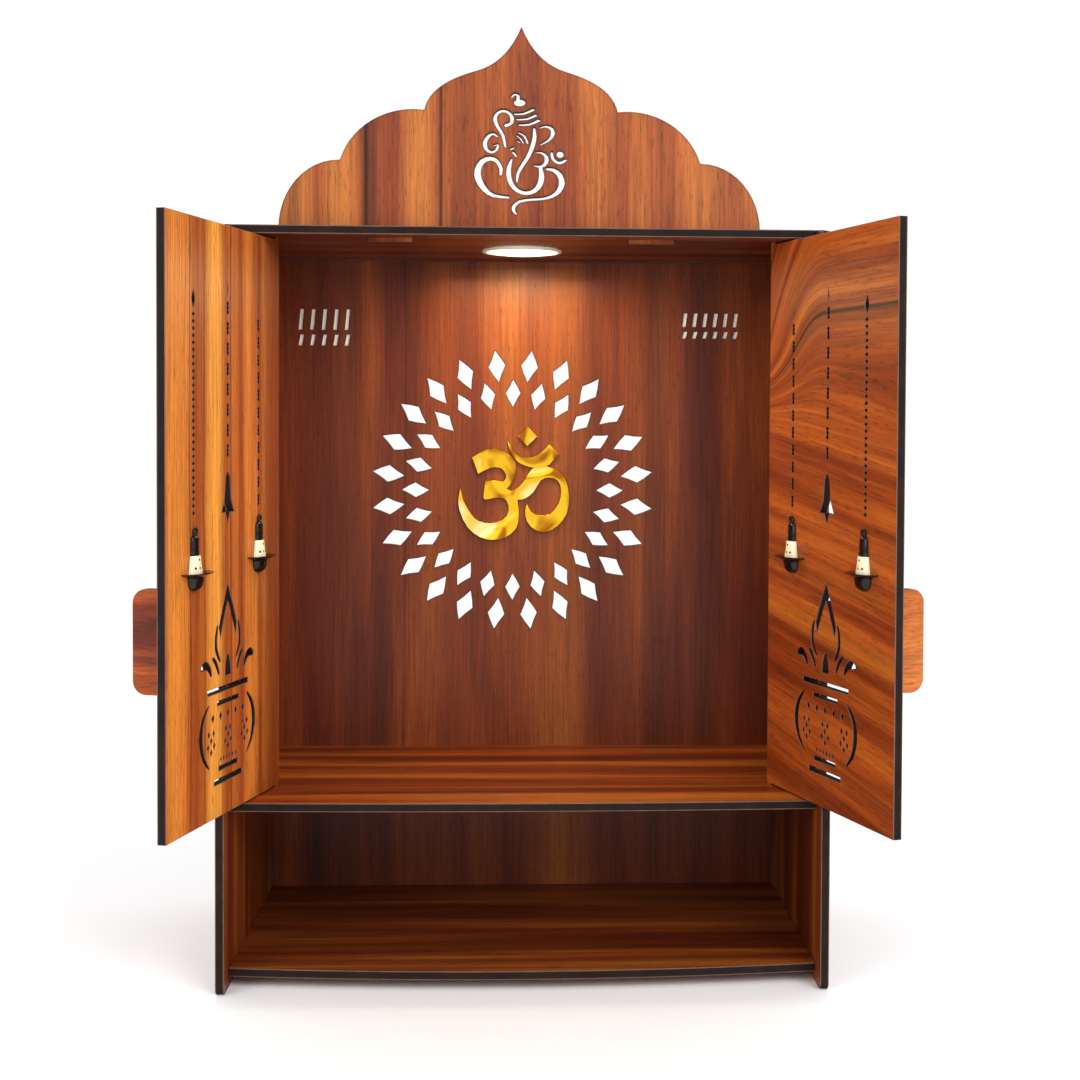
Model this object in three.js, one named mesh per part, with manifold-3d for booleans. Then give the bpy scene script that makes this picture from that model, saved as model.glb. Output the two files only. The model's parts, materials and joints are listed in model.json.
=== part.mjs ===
// Household altar cabinet: a flat-pack home temple of laser-cut laminated board.
// Millimetres, +Z up. The front looks along -Y and the cabinet's middle plane is X = 0 before placing.

import * as THREE from 'three';
import { mergeVertices } from 'three/addons/utils/BufferGeometryUtils.js';
import Module from 'manifold-3d';

const wasm = await Module();
wasm.setup();

// Carcass
const BOARD = 5.5;
const GAP = 0.3;
const OUTER_WIDTH = 381;
const INNER_HALF = OUTER_WIDTH / 2 - BOARD;
const BACK_FACE = 200.8;
const DEPTH = BACK_FACE + BOARD;
const TOP_HEIGHT = 479;
const MIDDLE_SHELF_TOP = 116.1;
const BOTTOM_SHELF_TOP = 12.6;
const TOP_FRONT = 38;

// Side panels: the part above the middle shelf stands back from the foot
const SIDE_SETBACK = 13;
const STEP_HEIGHT = 116.3;
const STEP_CORNER = 3;
const STEP_FILLET = 2;
const SIDE_TOP_DROP = 3.4;
const FOOT_RADIUS = 5;

// Shelf fronts: depth of the ends, and how far the middle comes forward
const MIDDLE_FRONT_ENDS = 17;
const MIDDLE_BOW = 4.5;
const BOTTOM_FRONT_ENDS = 16;
const BOTTOM_BOW = 11.5;
const BOW_STEPS = 20;

// Tabs that join the boards
const TAB_LENGTH = 26;
const SHELF_TAB_DEPTHS = [62, 150];
const BACK_TAB_HEIGHTS = [52, 210, 370];

// Crown
const CROWN_SHIFT = -4;
const CROWN_FRONT = 55;
const CROWN_HALF = 155.5;
const CROWN_HEIGHT = 130.5;
const CROWN_TAB_CENTRE = 84.5;
const CROWN_TAB_WIDTH = 30;
const CROWN_TAB_DROP = 3;
const FIGURE_HEIGHT = 49.6;

// Doors: angles are measured from closed
const PIVOT_X = 164.3;
const PIVOT_Y = 66.5;
const DOOR_WIDTH = 165;
const DOOR_CLEARANCE = 1;
const PIVOT_INSET = BOARD / 2;
const PIVOT_HOLE = 4.1;
const PIVOT_LENGTH = 5;
const OPEN_LEFT = 103.9;
const OPEN_RIGHT = 107.2;
const MOTIF_CENTRE = 78;

// Handles
const HANDLE_HEIGHT = 60.5;
const HANDLE_REACH = 22;
const HANDLE_CORNER = 8;
const HANDLE_FROM_EDGE = 18;
const HANDLE_CENTRE = 111.6;

// Back panel ornament
const ORNAMENT_X = -9;
const ORNAMENT_Z = 305;
const DIAMONDS = 24;
const OUTER_RING = { radius: 92, long: 23.3, wide: 12.4 };
const INNER_RING = { radius: 71.5, long: 19.9, wide: 10.8 };
const STROKE_DEPTH = 1;
const EMBLEM_THICK = 2;

// Downlight
const LIGHT_X = -3;
const LIGHT_Y = 125;
const LIGHT_RADIUS = 27.4;
const LENS_RADIUS = 24;

// Hanging lamps: distance from the pivot, and height of the saucer over the door's bottom edge
const LAMP_OUTER = { along: 126.3, saucer: 150 };
const LAMP_INNER = { along: 32.5, saucer: 152.8 };
const SAUCER_HALF = 17;
const LAMP_SQUASH = 0.575;
const CHAIN_OUTER = 126;
const CHAIN_INNER = 31;

const OFF_WHITE = 0xf1ead8;
const WOOD = 0x9a5326;
const BLACK = 0x1d1b1a;
const GOLD = 0xe0a72e;

const doorBottom = MIDDLE_SHELF_TOP + DOOR_CLEARANCE;
const doorHeight = TOP_HEIGHT - BOARD - DOOR_CLEARANCE - doorBottom;

function material(color, roughness, metalness = 0) {
  return new THREE.MeshStandardMaterial({ color, roughness, metalness });
}

function vec(x, y) {
  return new THREE.Vector2(x, y);
}

function shapeOf(points) {
  return new THREE.Shape(points);
}

function rectangle(x0, y0, x1, y1) {
  return shapeOf([vec(x0, y0), vec(x1, y0), vec(x1, y1), vec(x0, y1)]);
}

// Points of an ellipse's arc, from one angle to another in degrees
function arc(cx, cy, rx, ry, from, to, steps) {
  const points = [];
  for (let i = 0; i <= steps; i += 1) {
    const angle = THREE.MathUtils.degToRad(from + ((to - from) * i) / steps);
    points.push(vec(cx + rx * Math.cos(angle), cy + ry * Math.sin(angle)));
  }
  return points;
}

function ellipse(cx, cy, rx, ry, steps) {
  return shapeOf(arc(cx, cy, rx, ry, 0, 360, steps).slice(0, -1));
}

function smooth(points, steps) {
  const curve = new THREE.SplineCurve(points.map(([x, y]) => vec(x, y)));
  return curve.getPoints((points.length - 1) * steps);
}

// An outline joined from smooth runs, each a list of [x, y]; a run of two points is a straight line
function joined(runs, steps, place = (p) => p) {
  const points = [];
  for (const run of runs) {
    const part = run.length === 2 ? run.map(([x, y]) => vec(x, y)) : smooth(run, steps);
    for (const point of part) {
      const last = points.at(-1);
      if (!last || last.distanceTo(point) > 0.02) {
        points.push(point);
      }
    }
  }
  if (points[0].distanceTo(points.at(-1)) < 0.02) {
    points.pop();
  }
  return shapeOf(points.map(place));
}

// A cut stroke of changing width with round ends; each entry is [x, y, width]
function stroke(line, steps = 2) {
  const middle = smooth(line.map(([x, y]) => [x, y]), steps);
  const left = [];
  const right = [];
  const count = middle.length - 1;
  middle.forEach((point, i) => {
    const ahead = middle[Math.min(i + 1, count)];
    const behind = middle[Math.max(i - 1, 0)];
    const way = ahead.clone().sub(behind).normalize();
    const place = (i / count) * (line.length - 1);
    const at = Math.min(Math.floor(place), line.length - 2);
    const half = THREE.MathUtils.lerp(line[at][2], line[at + 1][2], place - at) / 2;
    left.push(vec(point.x - way.y * half, point.y + way.x * half));
    right.unshift(vec(point.x + way.y * half, point.y - way.x * half));
    if (i === 0 || i === count) {
      const sign = i === 0 ? -1 : 1;
      const tip = vec(point.x + way.x * half * sign, point.y + way.y * half * sign);
      (i === 0 ? right : left).push(tip);
    }
  });
  return shapeOf([...left, ...right]);
}

function solid(geometry) {
  const bare = geometry.index ? geometry.toNonIndexed() : geometry.clone();
  bare.deleteAttribute('normal');
  bare.deleteAttribute('uv');
  const merged = mergeVertices(bare, 1e-4);
  const mesh = new wasm.Mesh({
    numProp: 3,
    vertProperties: Float32Array.from(merged.attributes.position.array),
    triVerts: Uint32Array.from(merged.index.array),
  });
  return new wasm.Manifold(mesh);
}

function geometryOf(manifold) {
  const mesh = manifold.getMesh();
  const geometry = new THREE.BufferGeometry();
  geometry.setAttribute('position', new THREE.BufferAttribute(mesh.vertProperties, 3));
  geometry.setIndex(new THREE.BufferAttribute(mesh.triVerts, 1));
  return geometry;
}

function extrude(shape, depth) {
  return new THREE.ExtrudeGeometry(shape, { depth, bevelEnabled: false, curveSegments: 1 });
}

// A board whose outline lies in X and Z, from the front face at y to the back face at y + thick
function uprightBoard(shape, y, thick = BOARD) {
  return extrude(shape, thick).rotateX(Math.PI / 2).translate(0, y + thick, 0);
}

// A board whose outline is given in Y and Z, from x to x + thick
function sideBoard(shape, x, thick = BOARD) {
  const turn = new THREE.Matrix4().makeBasis(
    new THREE.Vector3(0, 1, 0),
    new THREE.Vector3(0, 0, 1),
    new THREE.Vector3(1, 0, 0),
  );
  return extrude(shape, thick).applyMatrix4(turn).translate(x, 0, 0);
}

function cutThrough(board, cutters) {
  let body = solid(board);
  for (const cutter of cutters) {
    body = body.subtract(solid(cutter));
  }
  return geometryOf(body);
}

function named(name, geometry, look) {
  const mesh = new THREE.Mesh(geometry, look);
  mesh.name = name;
  return mesh;
}

const wood = () => material(WOOD, 0.45);
const black = () => material(BLACK, 0.4);

// Side panels
function sideOutline() {
  const fillet = [SIDE_SETBACK - STEP_FILLET, STEP_HEIGHT + STEP_FILLET, STEP_FILLET, STEP_FILLET];
  return shapeOf([
    ...arc(FOOT_RADIUS, FOOT_RADIUS, FOOT_RADIUS, FOOT_RADIUS, 270, 180, 5),
    ...arc(STEP_CORNER, STEP_HEIGHT - STEP_CORNER, STEP_CORNER, STEP_CORNER, 180, 90, 4),
    ...arc(...fillet, 270, 360, 3),
    ...arc(SIDE_SETBACK + 3, TOP_HEIGHT - SIDE_TOP_DROP - 3, 3, 3, 180, 97, 4),
    vec(TOP_FRONT, TOP_HEIGHT),
    vec(DEPTH, TOP_HEIGHT),
    vec(DEPTH, 0),
  ]);
}

function sidePanel(side) {
  const from = side < 0 ? -OUTER_WIDTH / 2 : INNER_HALF;
  const slots = [];
  const slotAt = (y0, z0, y1, z1) => {
    slots.push(sideBoard(rectangle(y0 - GAP, z0 - GAP, y1 + GAP, z1 + GAP), from - 1, BOARD + 2));
  };
  for (const top of [MIDDLE_SHELF_TOP, BOTTOM_SHELF_TOP]) {
    for (const y of SHELF_TAB_DEPTHS) {
      slotAt(y - TAB_LENGTH / 2, top - BOARD, y + TAB_LENGTH / 2, top);
    }
  }
  for (const y of SHELF_TAB_DEPTHS) {
    slotAt(y - TAB_LENGTH / 2, TOP_HEIGHT - BOARD, y + TAB_LENGTH / 2, TOP_HEIGHT + 1);
  }
  for (const z of BACK_TAB_HEIGHTS) {
    slotAt(BACK_FACE, z - TAB_LENGTH / 2, DEPTH + 1, z + TAB_LENGTH / 2);
  }
  return cutThrough(sideBoard(sideOutline(), from), slots);
}

// Horizontal boards: a bowed or straight front, and tabs at both ends
function levelOutline(frontEnds, bow, rear) {
  const half = INNER_HALF - GAP;
  const reach = OUTER_WIDTH / 2;
  const points = [];
  for (let i = 0; i <= BOW_STEPS; i += 1) {
    const x = THREE.MathUtils.lerp(-half, half, i / BOW_STEPS);
    const rise = bow * (1 - (x / half) ** 2);
    if (bow > 0 || i === 0 || i === BOW_STEPS) {
      points.push(vec(x, frontEnds - rise));
    }
  }
  const tabs = SHELF_TAB_DEPTHS.map((y) => [y - TAB_LENGTH / 2 + GAP, y + TAB_LENGTH / 2 - GAP]);
  for (const [y0, y1] of tabs) {
    points.push(vec(half, y0), vec(reach, y0), vec(reach, y1), vec(half, y1));
  }
  points.push(vec(half, rear), vec(-half, rear));
  for (const [y0, y1] of [...tabs].reverse()) {
    points.push(vec(-half, y1), vec(-reach, y1), vec(-reach, y0), vec(-half, y0));
  }
  return shapeOf(points);
}

function pivotHoles(z) {
  return [-1, 1].map((side) => {
    return extrude(ellipse(side * PIVOT_X, PIVOT_Y, PIVOT_HOLE, PIVOT_HOLE, 16), BOARD + 2)
      .translate(0, 0, z - 1);
  });
}

function levelBoard(top, outline, holes) {
  const board = extrude(outline, BOARD).translate(0, 0, top - BOARD);
  return cutThrough(board, holes ? pivotHoles(top - BOARD) : []);
}

function topPanel() {
  const base = TOP_HEIGHT - BOARD;
  const board = extrude(levelOutline(TOP_FRONT, 0, DEPTH), BOARD).translate(0, 0, base);
  const slots = [-1, 1].map((side) => {
    const centre = CROWN_SHIFT + side * CROWN_TAB_CENTRE;
    const half = CROWN_TAB_WIDTH / 2 + GAP;
    const slot = rectangle(centre - half, CROWN_FRONT - GAP, centre + half, CROWN_FRONT + BOARD + GAP);
    return extrude(slot, BOARD + 2).translate(0, 0, base - 1);
  });
  return cutThrough(board, [...slots, ...pivotHoles(base)]);
}

// Crown: three scallops on each side and an ogee tip, worked out for one half and mirrored
function crownHalf() {
  const lobeTop = [117, 44];
  const secondCentre = [69, 32];
  const secondSize = [49, 45];
  const shoulder = new THREE.CubicBezierCurve(vec(62.5, 76), vec(60, 90), vec(45, 97.5), vec(28.2, 102.2));
  const point = new THREE.CubicBezierCurve(
    vec(28.2, 102.2),
    vec(16.5, 105.8),
    vec(7, 114),
    vec(0, CROWN_HEIGHT),
  );
  return [
    ...arc(lobeTop[0], 0, CROWN_HALF - lobeTop[0], lobeTop[1], 0, 90, 12),
    ...arc(...secondCentre, ...secondSize, 16, 97.6, 14),
    ...shoulder.getPoints(12),
    ...point.getPoints(9).slice(1),
  ];
}

// The elephant head with its crown band, ear curls, trunk and seated body, as cut strokes
function elephantStrokes() {
  const lines = [
    [[-6, 36, 1.2], [-4.4, 37.9, 1.7], [-2, 37.2, 1.9], [-2.2, 34.6, 1.9]],
    [[-4.4, 25.3, 1.4], [1.6, 25.6, 1.7], [7.9, 28.3, 2]],
    [[-2.7, 21.8, 1.4], [4, 22.3, 1.7], [9.5, 24.7, 2]],
    [[-1.3, 18.4, 1.4], [5.2, 18.7, 1.8], [11.5, 21.4, 2.2]],
    [[-10, 17.9, 2.8], [-6.2, 19.7, 2.4], [-6.1, 23.9, 2.3], [-9.2, 26.8, 2.3], [-13.2, 27, 2.4],
      [-16.3, 24.3, 2.4], [-16.6, 20.5, 2.4], [-14.4, 16, 2.2], [-11.7, 11.6, 2], [-10.1, 4, 1.3]],
    [[-15.3, 10.7, 1.4], [-17.6, 12.4, 1.8], [-20.7, 11.2, 2.4], [-23.2, 7.3, 2.8], [-22.6, 2.8, 2.4],
      [-19.1, 0.6, 2.1], [-15.8, 2.3, 2], [-15.1, 5.5, 1.6], [-18, 4.6, 1]],
    [[-13.1, -13.9, 1.6], [-12.9, -9.7, 2.2], [-15.6, -5, 2.8], [-20, -3.4, 3.2], [-25, -5.4, 3.8],
      [-27.9, -10.8, 4.2], [-27.3, -17, 4.2], [-23.6, -23, 3.6], [-17.8, -27.2, 2.6], [-7.7, -28.4, 1.7]],
    [[-1.7, 13.4, 1.1], [2.2, 11.3, 1.4], [4.3, 6.5, 1.1]],
    [[-2.9, 11.6, 0.9], [-0.4, 9.7, 1.1], [1.6, 6.6, 0.9]],
    [[-2.6, 8, 0.9], [-1.4, 7.4, 1.1], [-0.2, 6.9, 0.8]],
    [[8.5, 16.4, 1.3], [8.8, 11.3, 2.4], [7.6, 5.3, 2.8], [4.6, -1.9, 2.6], [0.4, -8.5, 2.4],
      [-2, -13.3, 2], [-2.5, -18.5, 0.9]],
    [[-7.1, 2.5, 1.1], [-5.8, 3, 1.4], [-4.4, 3.8, 1]],
    [[-5.2, 0.9, 1.1], [-4.1, -0.5, 1.5], [-3, -2, 1.1]],
    [[-5.9, -3.6, 1.1], [-7.6, -8.4, 2.7], [-7.9, -14, 3.1], [-6, -19.9, 3.1], [-1.9, -24, 2.8],
      [3.4, -25.5, 2.8], [8.8, -23.9, 3.2], [12.4, -19.6, 3.6], [13.4, -14, 3.4], [12.6, -8.6, 2.2]],
    [[9.4, 0.6, 1], [13.2, 0.6, 1.7], [16.4, -1.9, 2.6], [16.2, -5.8, 2.6], [13, -8.3, 2.2],
      [8.2, -7.7, 1]],
    [[11.7, 16.4, 1], [16, 17.6, 1.8], [19.8, 16, 2.5], [20.5, 12.4, 2.5], [17.6, 8.5, 1.8], [12.1, 5.5, 1]],
    [[19.9, 0.8, 1.5], [20.6, -3, 2], [23.8, -5.6, 2.2], [26.8, -5.3, 2], [29.2, -3.7, 1.3]],
    [[16.5, -9.8, 1.7], [21, -10.4, 2.8], [25, -13.5, 3.6], [26.6, -18.8, 3.8], [24.5, -24, 3.2],
      [20, -27.4, 2.4], [13.6, -29.1, 1.9], [6.4, -29.6, 1.9], [-0.8, -30.9, 2.2], [-4.4, -34, 2.4],
      [-4.6, -36.8, 2], [-3, -39, 1.3]],
  ];
  const thin = (line) => line.every((point) => point[2] <= 2.3);
  const fuller = lines.map((line) => {
    return thin(line) ? line.map(([x, y, w]) => [x, y, w + 0.15]) : line;
  });
  return [
    ...fuller.map((line) => stroke(line)),
    ellipse(-1, 32.6, 3.9, 2.6, 12),
    ellipse(25.3, -0.4, 2.4, 2.4, 10),
  ];
}

function crownArch() {
  const right = crownHalf();
  const left = right.slice(0, -1).map((p) => vec(-p.x, p.y)).reverse();
  const tabs = [];
  for (const side of [-1, 1]) {
    const centre = side * CROWN_TAB_CENTRE;
    const drop = -(BOARD + CROWN_TAB_DROP);
    const half = CROWN_TAB_WIDTH / 2;
    tabs.push(
      vec(centre - half, GAP),
      vec(centre - half, drop),
      vec(centre + half, drop),
      vec(centre + half, GAP),
    );
  }
  const base = [...right, ...left].map((p) => vec(p.x, Math.max(p.y, GAP)));
  const board = uprightBoard(shapeOf([...base, ...tabs]), CROWN_FRONT);
  const cutters = elephantStrokes().map((shape) => {
    return uprightBoard(shape, CROWN_FRONT - 1, BOARD + 2).translate(0, 0, FIGURE_HEIGHT);
  });
  return cutThrough(board, cutters).translate(CROWN_SHIFT, 0, TOP_HEIGHT);
}

// Back panel: two rings of diamonds with slightly curved sides, and rows of plain strokes
function diamondRing({ radius, long, wide }, turn) {
  const shapes = [];
  for (let i = 0; i < DIAMONDS; i += 1) {
    const angle = THREE.MathUtils.degToRad(turn + (i * 360) / DIAMONDS);
    const corners = [
      [0, long / 2],
      [wide * 0.31, long * 0.22],
      [wide / 2, 0],
      [wide * 0.22, -long * 0.25],
      [0, -long / 2],
      [-wide * 0.31, -long * 0.22],
      [-wide / 2, 0],
      [-wide * 0.22, long * 0.25],
    ];
    shapes.push(shapeOf(corners.map(([x, y]) => {
      return vec(x, y + radius).rotateAround(vec(0, 0), -angle);
    })));
  }
  return shapes;
}

function strokeRows(centreX, topZ, wide, rows) {
  const shapes = [];
  let z = topZ;
  for (const { height, count } of rows) {
    const pitch = wide / count;
    for (let i = 0; i < count; i += 1) {
      const x = centreX - wide / 2 + pitch * (i + 0.5);
      const foot = z - height;
      shapes.push(shapeOf([vec(x - 2, foot), vec(x + 0.6, foot), vec(x + 2, z), vec(x - 0.6, z)]));
    }
    z -= height + 3.5;
  }
  return shapes;
}

function backPanel() {
  const half = INNER_HALF - GAP;
  const reach = OUTER_WIDTH / 2;
  const bottom = BOTTOM_SHELF_TOP - BOARD;
  const top = TOP_HEIGHT - BOARD - GAP;
  const points = [vec(-half, bottom), vec(half, bottom)];
  const tabs = BACK_TAB_HEIGHTS.map((z) => [z - TAB_LENGTH / 2 + GAP, z + TAB_LENGTH / 2 - GAP]);
  for (const [z0, z1] of tabs) {
    points.push(vec(half, z0), vec(reach, z0), vec(reach, z1), vec(half, z1));
  }
  points.push(vec(half, top), vec(-half, top));
  for (const [z0, z1] of [...tabs].reverse()) {
    points.push(vec(-half, z1), vec(-reach, z1), vec(-reach, z0), vec(-half, z0));
  }
  const diamonds = [...diamondRing(OUTER_RING, 7.5), ...diamondRing(INNER_RING, 0)].map((shape) => {
    return uprightBoard(shape, BACK_FACE - 1, BOARD + 2).translate(ORNAMENT_X, 0, ORNAMENT_Z);
  });
  const strokes = [
    ...strokeRows(-147, 437, 42, [{ height: 15, count: 5 }, { height: 8, count: 5 }]),
    ...strokeRows(136, 436, 45, [{ height: 10, count: 6 }, { height: 5, count: 6 }]),
  ].map((shape) => uprightBoard(shape, BACK_FACE - 1, STROKE_DEPTH + 1));
  return cutThrough(uprightBoard(shapeOf(points), BACK_FACE), [...diamonds, ...strokes]);
}

// The emblem: a double bowl, a right loop and a crescent, joined into one plate, and a loose dot
function emblemBowls() {
  return joined([
    [[-30.7, 18.9], [-19.6, 25.1], [-9.5, 24.4], [-0.9, 19.7], [2.2, 10.4], [-0.9, 1.1], [-4.8, -3.9]],
    [[-4.8, -3.9], [0.5, -7], [3, -12.1], [4, -23.7], [2.2, -33.1], [-5.6, -40], [-14.9, -41.9],
      [-24.2, -40], [-33.5, -33.1], [-39.7, -20.6], [-40.6, -11], [-39, -2.8]],
    [[-39, -2.8], [-37.5, -9.5], [-35.9, -14.4], [-28.9, -25.3], [-21.1, -29.2], [-11.8, -28.4], [-4.8, -23.7],
      [-4, -16], [-7.1, -11.3], [-14, -10.9], [-21, -12.2], [-22.3, -9.8]],
    [[-22.3, -9.8], [-21.1, 1.8]],
    [[-21.1, 1.8], [-13.4, 1.9], [-7.9, 1.2], [-5.6, 5.7], [-9.5, 11], [-17.2, 11.2], [-26.1, 6.5]],
    [[-26.1, 6.5], [-30.7, 18.9]],
  ], 2);
}

function emblemLoop() {
  return joined([
    [[-4.8, -6.4], [1.6, -4], [6.8, 1.1], [13, 10.4], [19.2, 12.9], [25.5, 12.3], [33.2, 9.6], [38.6, 2.6],
      [41, -9.8], [39.4, -22.2], [32.4, -31.5], [23.9, -35.9], [16.1, -34.6], [9.9, -28.4], [8.4, -20.6],
      [9.9, -14.7]],
    [[9.9, -14.7], [13, -20.6], [19.2, -23.4], [27, -22.2], [33.2, -14.4], [34.8, -5.1], [32.4, 1.9],
      [26.2, 4.2], [20, 1.9], [14.6, -6.7], [8.4, -11.3], [3, -12.4], [-3, -11]],
    [[-3, -11], [-4.8, -6.4]],
  ], 2);
}

function emblemCrescent() {
  return joined([
    [[-4.8, 32.9], [-3.2, 24.5], [3.7, 15], [16.1, 11.2], [26.2, 13.5]],
    [[26.2, 13.5], [33.5, 21.6]],
    [[33.5, 21.6], [26.2, 29.3]],
    [[26.2, 29.3], [20, 22.8], [11.5, 18.9], [2.2, 21.3], [-4.8, 32.9]],
  ], 3);
}

function emblemPlate(shape) {
  return uprightBoard(shape, BACK_FACE - GAP - EMBLEM_THICK, EMBLEM_THICK).translate(ORNAMENT_X + 0.6, 0, 310.2);
}

function emblem() {
  const body = solid(emblemPlate(emblemBowls()))
    .add(solid(emblemPlate(emblemLoop())))
    .add(solid(emblemPlate(emblemCrescent())));
  return geometryOf(body);
}

function emblemDot() {
  return emblemPlate(shapeOf([vec(10.4, 42.2), vec(17.4, 34.5), vec(9.9, 27.2), vec(2.6, 34.8)]));
}

// Doors: a chain is a row of slots, each of one or more joined beads
function chain(x, top, bottom, beads, bead, pitch) {
  const shapes = [];
  for (let high = top; high > bottom + beads * bead; high -= pitch) {
    const half = [[0, high]];
    for (let k = 0; k < beads; k += 1) {
      half.push([1.8, high - bead * (k + 0.5)]);
      half.push([k === beads - 1 ? 0 : 1.1, high - bead * (k + 1)]);
    }
    shapes.push(beside(half, x));
  }
  return shapes;
}

// A slot from its right half, tip to tip, about a vertical line
function beside(half, x) {
  const right = half.map(([w, y]) => vec(x + w, y));
  const left = half.slice(1, -1).map(([w, y]) => vec(x - w, y)).reverse();
  return shapeOf([...right, ...left]);
}

function bell(x, top) {
  const half = [[0.9, 0], [3.2, -3], [3.9, -9], [5.2, -17], [9.3, -24]];
  const right = half.map(([w, y]) => vec(x + w, top + y));
  const left = half.map(([w, y]) => vec(x - w, top + y)).reverse();
  const tongue = [vec(x - 3, top - 25), vec(x, top - 30.5), vec(x + 3, top - 25)];
  return [shapeOf([...right, vec(x + 3, top - 24), ...tongue.reverse(), vec(x - 3, top - 24), ...left])];
}

// A pot with a flame-shaped coconut, mango leaves and bands of dots, about the motif's middle line
function potMotif() {
  const shapes = [];
  const both = (line) => {
    shapes.push(stroke(line), stroke(line.map(([x, y, w]) => [-x, y, w])));
  };
  const band = (half, y, thick) => shapes.push(rectangle(-half, y - thick / 2, half, y + thick / 2));
  const dot = (x, y, rx, ry) => shapes.push(shapeOf([vec(x, y + ry), vec(x + rx, y), vec(x, y - ry), vec(x - rx, y)]));
  const flame = [
    vec(0, 140),
    vec(-5, 130.5), vec(-9.5, 122), vec(-13.3, 114), vec(-11.4, 107),
    vec(-8.3, 113.4), vec(-5, 119.6), vec(-2.2, 125), vec(0, 128.6),
    vec(2.2, 125), vec(5, 119.6), vec(8.3, 113.4), vec(11.4, 107),
    vec(13.3, 114), vec(9.5, 122), vec(5, 130.5),
  ];
  shapes.push(shapeOf(flame));
  both([[15.2, 114.6, 2], [17.3, 109, 3.2], [17.4, 102, 3.4], [14.8, 97, 3], [11.6, 93.4, 1.6]]);
  both([[13.6, 86.2, 2.2], [15.7, 90.1, 3.2], [18.8, 94, 3], [22.1, 96.2, 1.8]]);
  both([[24.4, 86.5, 2.2], [26.4, 90, 3.8], [29.6, 92.6, 4.6], [33.5, 93.4, 5], [37.2, 92, 3.4]]);
  shapes.push(mirrored([[4.5, 83.7], [3.9, 90], [1.9, 95], [0, 96.9]]));
  band(29.6, 76.4, 3.3);
  band(16, 68.4, 2.8);
  both([[28.2, 68.6, 1.2], [34.8, 62.5, 3.4], [38.2, 55, 4.8], [38.3, 47, 4.8], [34.8, 38.5, 3.4], [27.6, 31.4, 1]]);
  for (const x of [-22, -11, 0, 11, 22]) {
    dot(x, 60.5, 1.8, 2.9);
  }
  for (const x of [-24.5, 0, 24.5]) {
    dot(x - 3.3, 51.5, 1.5, 2.3);
    dot(x + 3.3, 51.5, 1.5, 2.3);
    dot(x, 47.5, 1.5, 2.3);
    dot(x - 4.2, 44, 1.5, 2.3);
    dot(x + 4.2, 44, 1.5, 2.3);
    dot(x, 40.5, 1.5, 2.3);
  }
  for (let i = 0; i < 6; i += 1) {
    dot(-10.7 + i * 4.28, 34.2, 1.1, 1.8);
  }
  band(14, 29, 2.8);
  band(20.5, 21.4, 3.3);
  return shapes.map((shape) => shapeOf(shape.getPoints().map((p) => vec(p.x + MOTIF_CENTRE, p.y))));
}

function door() {
  const from = -PIVOT_INSET;
  const to = DOOR_WIDTH - PIVOT_INSET;
  const outline = shapeOf([
    vec(from, -PIVOT_LENGTH), vec(-from, -PIVOT_LENGTH), vec(-from, 0), vec(to, 0),
    vec(to, doorHeight), vec(-from, doorHeight), vec(-from, doorHeight + PIVOT_LENGTH),
    vec(from, doorHeight + PIVOT_LENGTH),
  ]);
  const shapes = [
    ...chain(CHAIN_INNER, 302, 182, 3, 2.7, 11),
    ...chain(MOTIF_CENTRE, 310, 207.5, 3, 2.8, 12.3),
    ...chain(CHAIN_OUTER, 300.5, 181, 1, 3, 4.1),
    beside([[0, 313], [0.8, 309], [0, 304]], CHAIN_INNER),
    beside([[0, 322], [0.8, 317], [0, 312]], MOTIF_CENTRE),
    beside([[0, 314], [2.4, 308.5], [2.2, 306.5], [0, 302]], CHAIN_OUTER),
    ...bell(MOTIF_CENTRE, 206.5),
    ...potMotif(),
  ];
  const cutters = shapes.map((shape) => uprightBoard(shape, -BOARD / 2 - 1, BOARD + 2));
  return cutThrough(uprightBoard(outline, -BOARD / 2), cutters);
}

// A rounded tab that stands off the door's outer face, thin along the door
function handle(outward) {
  const tall = HANDLE_HEIGHT / 2;
  const r = HANDLE_CORNER;
  const outline = shapeOf([
    vec(0, -tall),
    ...arc(HANDLE_REACH - r, -tall + r, r, r, 270, 360, 6),
    ...arc(HANDLE_REACH - r, tall - r, r, r, 0, 90, 6),
    vec(0, tall),
  ].map((p) => vec(outward * (p.x + BOARD / 2 + GAP), p.y)));
  return sideBoard(outline, -BOARD / 2);
}

function lathe(profile, sides) {
  return new THREE.LatheGeometry(profile.map(([r, z]) => vec(r, z)), sides).rotateX(Math.PI / 2);
}

function mirrored(half) {
  const right = half.map(([x, y]) => vec(x, y));
  const left = half.filter(([x]) => x > 0).map(([x, y]) => vec(-x, y)).reverse();
  return shapeOf([...right, ...left]);
}

// Hanging lamps, half-round with their flat backs on the doors; the saucer's rim is at height 0
function halfRound(profile, sides) {
  const round = solid(lathe(profile, sides).scale(1, LAMP_SQUASH, 1));
  const behind = new THREE.BoxGeometry(60, 30, 60).translate(0, -15, 0);
  return round.subtract(solid(behind));
}

function onDoor(manifold, inward) {
  const geometry = geometryOf(manifold).translate(0, BOARD / 2 + GAP, 0);
  return inward > 0 ? geometry : geometry.rotateZ(Math.PI);
}

function lampHook(inward) {
  const sleeve = halfRound([[0, 10], [4.6, 10], [4.4, 19.2], [3.6, 20.6], [1.8, 21.4], [0, 21.4]], 16);
  const loop = solid(uprightBoard(ellipse(0, 23.2, 2.9, 3, 14), 0, 1.8));
  const eye = solid(uprightBoard(ellipse(0, 23.4, 1.3, 1.6, 10), -1, 4));
  return onDoor(sleeve.add(loop).subtract(eye), inward);
}

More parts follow.
